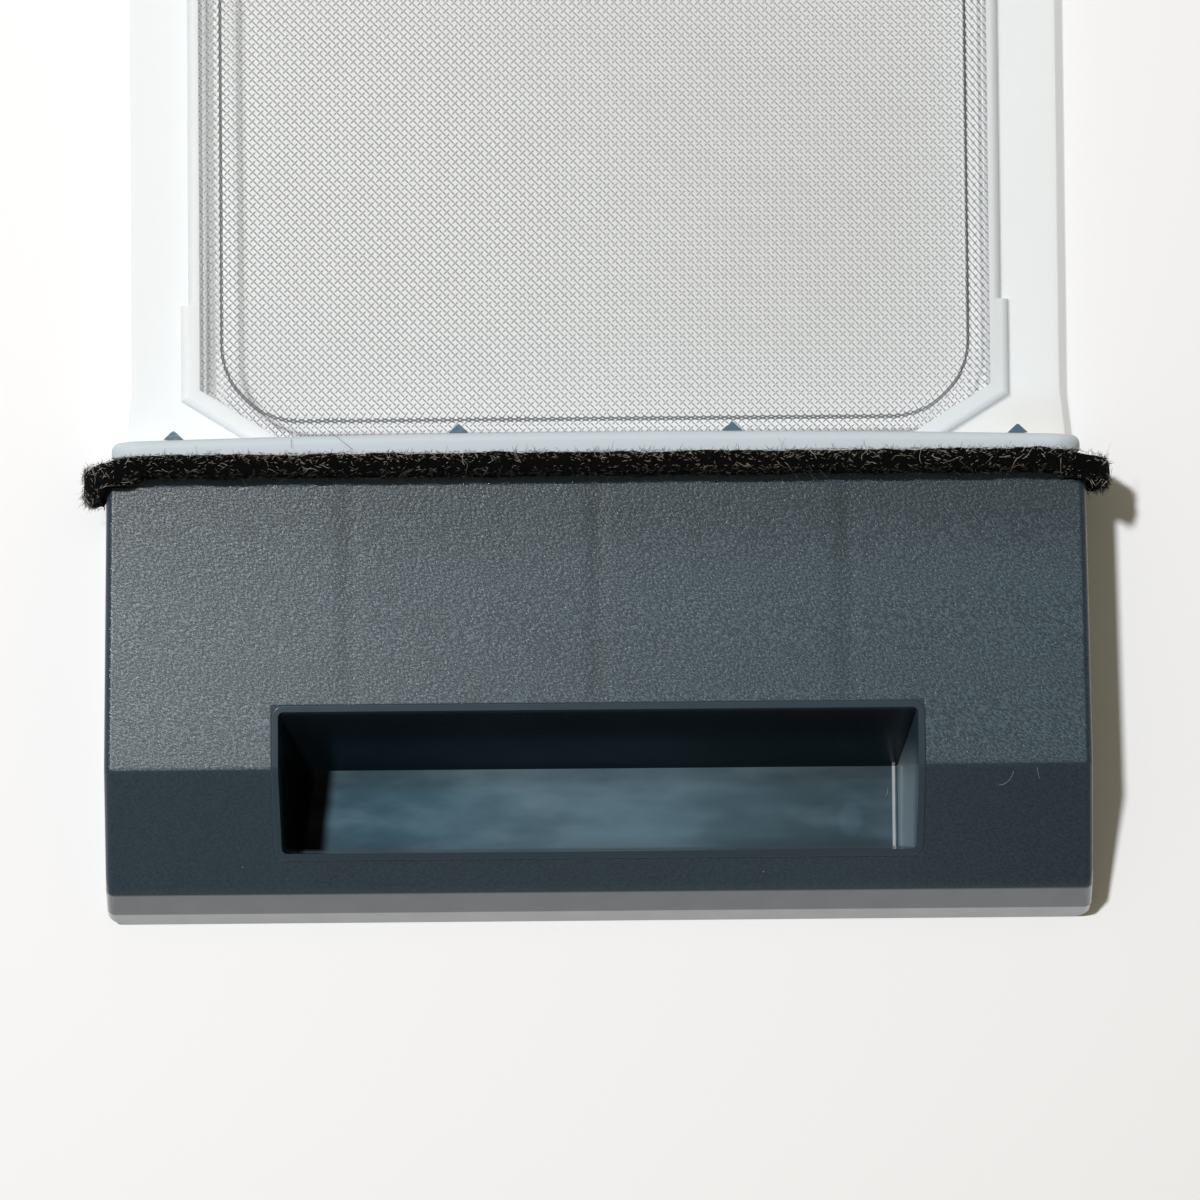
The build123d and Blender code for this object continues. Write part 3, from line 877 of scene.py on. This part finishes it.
def felt_body(ring):
    """The strip itself, lumpy as needled felt is."""
    step = 0.9 * MM
    rows = int(ring.length / step)
    sides = 20
    place, around = np.meshgrid(np.arange(rows) * ring.length / rows, np.arange(sides) * TAU / sides,
                                indexing="ij")
    points, normal = ring.surface(place, around)[:2]
    lumps = np.array([noise.noise(Vector(point) / (2.2 * MM)) for point in points.reshape(-1, 3)])
    broad = np.array([noise.noise(Vector(point) / (11 * MM)) for point in points.reshape(-1, 3)])
    shift = (-0.35 + 0.3 * lumps + 0.4 * broad).reshape(rows, sides) * MM
    points = ring.settle(points + normal * shift[..., None]).reshape(-1, 3)
    number = np.arange(rows * sides).reshape(rows, sides)
    after = np.roll(number, -1, axis=0)
    faces = np.stack([number, np.roll(number, -1, axis=1), np.roll(after, -1, axis=1), after], axis=-1)
    return points, faces.reshape(-1, 4).tolist()


def strands(paths, radius, sides=3):
    """Points and faces of many thin closed strands that have the same number of stations."""
    count, stations = paths.shape[:2]
    along = unit(np.gradient(paths, axis=1))
    hint = np.where(np.abs(along[..., 2:]) < 0.9, np.array([0.0, 0.0, 1.0]), np.array([1.0, 0.0, 0.0]))
    side = unit(np.cross(along, hint))
    rise = np.cross(side, along)
    turns = np.arange(sides) * TAU / sides
    ring = (np.cos(turns)[:, None] * rise[:, :, None] + np.sin(turns)[:, None] * side[:, :, None])
    points = (paths[:, :, None] + ring * radius[:, :, None, None]).reshape(-1, 3)
    row = np.arange(sides)
    first = np.stack([row, np.roll(row, -1), np.roll(row, -1) + sides, row + sides], axis=1)
    starts = np.arange(count) * stations * sides
    steps = np.arange(stations - 1) * sides
    quads = first + starts[:, None, None, None] + steps[None, :, None, None]
    last = (stations - 1) * sides
    faces = quads.reshape(-1, 4).tolist()
    faces += (starts[:, None] + row[::-1]).tolist()
    faces += (starts[:, None] + last + row).tolist()
    return points, faces


def felt_nap(ring, settings, count, length, slant, lift, stations, seed):
    """Curly fibres that lie on the outer side of the strip, mostly along it."""
    random = np.random.default_rng(seed)
    top_half = 0.28
    top_share = 0.7
    seen = random.uniform(-top_half, top_half, count)
    on_top = random.uniform(0, 1, count) < top_share
    place = np.where(on_top, seen, random.uniform(0, 1, count)) * ring.length
    around = np.clip(random.normal(0, 0.8, count), -1.8, 1.8)
    point, normal, heading = ring.surface(place, around)
    above = point[:, 2] > 2.5 * MM
    point, normal, heading = point[above], normal[above], heading[above]
    count = len(point)
    sideways = np.cross(normal, heading)
    turn = random.normal(0, slant, count) + random.integers(0, 2, count) * math.pi
    direction = heading * np.cos(turn)[:, None] + sideways * np.sin(turn)[:, None]
    across = np.cross(normal, direction)
    reach = length * random.lognormal(-0.1, 0.4, count)
    bow = random.normal(0, 0.25, count)
    curl = random.normal(0, 0.06, count)
    height = lift * random.gamma(1.2, 0.6, count)
    steps = np.linspace(-0.5, 0.5, stations)
    arch = 1 - 4 * steps ** 2
    swing = arch * 0.25 * bow[:, None] + np.sin(steps * TAU) * curl[:, None]
    stand = (steps + 0.5) ** 1.3 * height[:, None] - 0.2 * MM
    paths = (point[:, None] + steps[None, :, None] * (direction * reach[:, None])[:, None]
             + (swing * reach[:, None])[..., None] * across[:, None] + stand[..., None] * normal[:, None])
    taper = np.where(np.abs(steps) > 0.49, 0.45, 1.0)
    radius = settings.fibre * random.uniform(0.7, 1.25, count)[:, None] * taper
    return strands(ring.settle(paths), radius)


def shed_hairs(settings):
    """The few hairs on the flange, the front and the pocket's floor, each bent over three points in mm."""
    bundle = Bundle()
    for ends in (((-69.6, -69.9, 32.5), (-67.6, -71.6, 33.2), (-63.5, -74.9, 34.4)),
                 ((-79.7, -71.9, 32.3), (-79.9, -73.0, 32.8), (-79.6, -74.2, 33.6)),
                 ((108.4, -160.4, 33.3), (107.6, -164.0, 31.4), (104.7, -164.1, 31.4)),
                 ((114.6, -159.6, 33.7), (114.8, -161.2, 32.9), (115.3, -162.5, 32.2)),
                 ((77.1, -165.0, 10.3), (77.3, -166.2, 10.4), (76.6, -166.9, 10.3))):
        first, bend, last = np.array(ends) * MM
        step = np.linspace(0, 1, 10)[:, None]
        path = (1 - step) ** 2 * first + 2 * step * (1 - step) * bend + step ** 2 * last
        bundle.add(path, settings.hair, 5, np.array([0.3, 0.1, 1.0]))
    return bundle.mesh()


class LINTFILTER_OT_handle_cover(bpy.types.Operator):
    """Give the moulded handle its grained slate plastic"""

    bl_idname = "lintfilter.handle_cover"
    bl_label = "Handle Cover"

    def execute(self, context):
        cover = frame["nodes"]["handle_cover"]
        cover.data.materials.clear()
        cover.data.materials.append(slate_plastic(context.scene.lint_filter_handle))
        return {"FINISHED"}


class LINTFILTER_OT_screen_frame(bpy.types.Operator):
    """Give the screen frame its satin white plastic"""

    bl_idname = "lintfilter.screen_frame"
    bl_label = "Screen Frame"

    def execute(self, context):
        node = frame["nodes"]["screen_frame"]
        node.data.materials.clear()
        node.data.materials.append(white_plastic(context.scene.lint_filter_frame))
        return {"FINISHED"}


class LINTFILTER_OT_wire_cloth(bpy.types.Operator):
    """Weave the wire cloth from two families of wires"""

    bl_idname = "lintfilter.wire_cloth"
    bl_label = "Wire Cloth"

    def execute(self, context):
        settings = context.scene.lint_filter_screen
        cloth = WireCloth(settings)
        steel = steel_wire(settings, cloth)
        reach = cloth.reach()
        for name, family in (("warp_wires", 1), ("weft_wires", -1)):
            for half, rows in (("near", range(-reach, 0)), ("far", range(reach + 1))):
                bundle = Bundle()
                glint = []
                sides = 3
                for path, radius, shine in cloth.wires(family, rows):
                    bundle.add(path, radius, sides, np.array([0.0, 0.0, 1.0]))
                    glint.append(np.repeat(shine, sides))
                points, faces = bundle.mesh()
                piece = add_piece(f"{name}_{half}", points, faces, steel, "mesh_screen")
                layer = piece.data.attributes.new("glint", "FLOAT", "POINT")
                layer.data.foreach_set("value", np.concatenate(glint))
        return {"FINISHED"}


class LINTFILTER_OT_felt_seal(bpy.types.Operator):
    """Lay the felt strip and its loose fibres round the neck"""

    bl_idname = "lintfilter.felt_seal"
    bl_label = "Felt Seal"

    def execute(self, context):
        settings = context.scene.lint_filter_felt
        ring = FeltRing(settings)
        points, faces = felt_body(ring)
        add_piece("felt_strip", points, faces, felt_finish(settings), "felt_seal")
        points, faces = felt_nap(ring, settings, settings.nap, settings.nap_length,
                                 slant=0.5, lift=0.6 * MM, stations=3, seed=41)
        finish = fibre_finish("felt_nap_finish", settings.black, settings.pale, 0.74)
        add_piece("felt_nap", points, faces, finish, "felt_seal")
        points, faces = felt_nap(ring, settings, settings.strays, settings.stray_length,
                                 slant=0.9, lift=1.3 * MM, stations=8, seed=43)
        finish = fibre_finish("felt_stray_finish", settings.black, settings.pale, 0.5)
        add_piece("felt_strays", points, faces, finish, "felt_seal")
        points, faces = shed_hairs(settings)
        add_piece("shed_hairs", points, faces, hair_finish(settings), "felt_seal")
        return {"FINISHED"}


class LINTFILTER_OT_stage(bpy.types.Operator):
    """Set the table, the soft light and the camera"""

    bl_idname = "lintfilter.stage"
    bl_label = "Stage"

    def execute(self, context):
        settings = context.scene.lint_filter_stage
        self.table(settings)
        self.light(context, settings)
        self.camera(context, settings)
        return {"FINISHED"}

    def table(self, settings):
        """The table top, a hair below the filter."""
        reach = 3.0
        height = -0.2 * MM
        corners = [(x * reach, y * reach, height) for x, y in ((-1, -1), (1, -1), (1, 1), (-1, 1))]
        new_piece("table", corners, [(0, 1, 2, 3)], floor_finish(settings))

    def light(self, context, settings):
        """The key light, half of which shines through the thin white frame, and the room's light."""
        self.lamp(context, settings, "key")
        through = self.lamp(context, settings, "key_through_frame")
        blockers = bpy.data.collections.new("key_blockers")
        for item in context.scene.objects:
            if item.type == "MESH" and item != frame["nodes"]["screen_frame"]:
                blockers.objects.link(item)
        through.light_linking.blocker_collection = blockers
        world = bpy.data.worlds.new("room")
        world.use_nodes = True
        world.node_tree.nodes["Background"].inputs["Color"].default_value = opaque(settings.sky)
        context.scene.world = world

    def lamp(self, context, settings, name):
        """Half of the key light."""
        lamp = bpy.data.lights.new(name, "AREA")
        lamp.shape = "DISK"
        lamp.size = settings.key_size
        lamp.energy = settings.key_power / 2
        item = bpy.data.objects.new(name, lamp)
        item.location = settings.key_place
        aim = Vector(settings.key_aim) - item.location
        item.rotation_euler = aim.to_track_quat("-Z", "Y").to_euler()
        context.scene.collection.objects.link(item)
        return item

    def camera(self, context, settings):
        """The camera over the handle."""
        scene = context.scene
        lens = bpy.data.cameras.new("camera")
        lens.sensor_fit = "HORIZONTAL"
        lens.sensor_width = 36.0
        lens.lens = settings.lens
        camera = bpy.data.objects.new("camera", lens)
        turn = Matrix.Rotation(settings.tilt, 4, "X") @ Matrix.Rotation(settings.roll, 4, "Z")
        camera.matrix_world = Matrix.Translation(settings.eye) @ turn
        scene.collection.objects.link(camera)
        scene.camera = camera
        scene.view_settings.view_transform = "Standard"


class LINTFILTER_PT_panel(bpy.types.Panel):
    """Sidebar list of the lint filter's pieces"""

    bl_idname = "LINTFILTER_PT_panel"
    bl_label = "Lint Filter"
    bl_space_type = "VIEW_3D"
    bl_region_type = "UI"
    bl_category = "Lint Filter"

    def draw(self, context):
        for operator in OPERATORS:
            self.layout.operator(operator.bl_idname)


OPERATORS = (LINTFILTER_OT_handle_cover, LINTFILTER_OT_screen_frame, LINTFILTER_OT_wire_cloth,
             LINTFILTER_OT_felt_seal, LINTFILTER_OT_stage)
SETTINGS = {
    "lint_filter_handle": HandleSettings,
    "lint_filter_frame": FrameSettings,
    "lint_filter_screen": ScreenSettings,
    "lint_filter_felt": FeltSettings,
    "lint_filter_stage": StageSettings,
}


def register():
    for group in SETTINGS.values():
        bpy.utils.register_class(group)
    for name, group in SETTINGS.items():
        setattr(bpy.types.Scene, name, bpy.props.PointerProperty(type=group))
    for operator in OPERATORS:
        bpy.utils.register_class(operator)
    bpy.utils.register_class(LINTFILTER_PT_panel)


def unregister():
    bpy.utils.unregister_class(LINTFILTER_PT_panel)
    for operator in reversed(OPERATORS):
        bpy.utils.unregister_class(operator)
    for name in SETTINGS:
        delattr(bpy.types.Scene, name)
    for group in reversed(SETTINGS.values()):
        bpy.utils.unregister_class(group)


def main():
    register()
    bpy.ops.lintfilter.handle_cover()
    bpy.ops.lintfilter.screen_frame()
    bpy.ops.lintfilter.wire_cloth()
    bpy.ops.lintfilter.felt_seal()
    bpy.ops.lintfilter.stage()


if __name__ == "__main__":
    main()
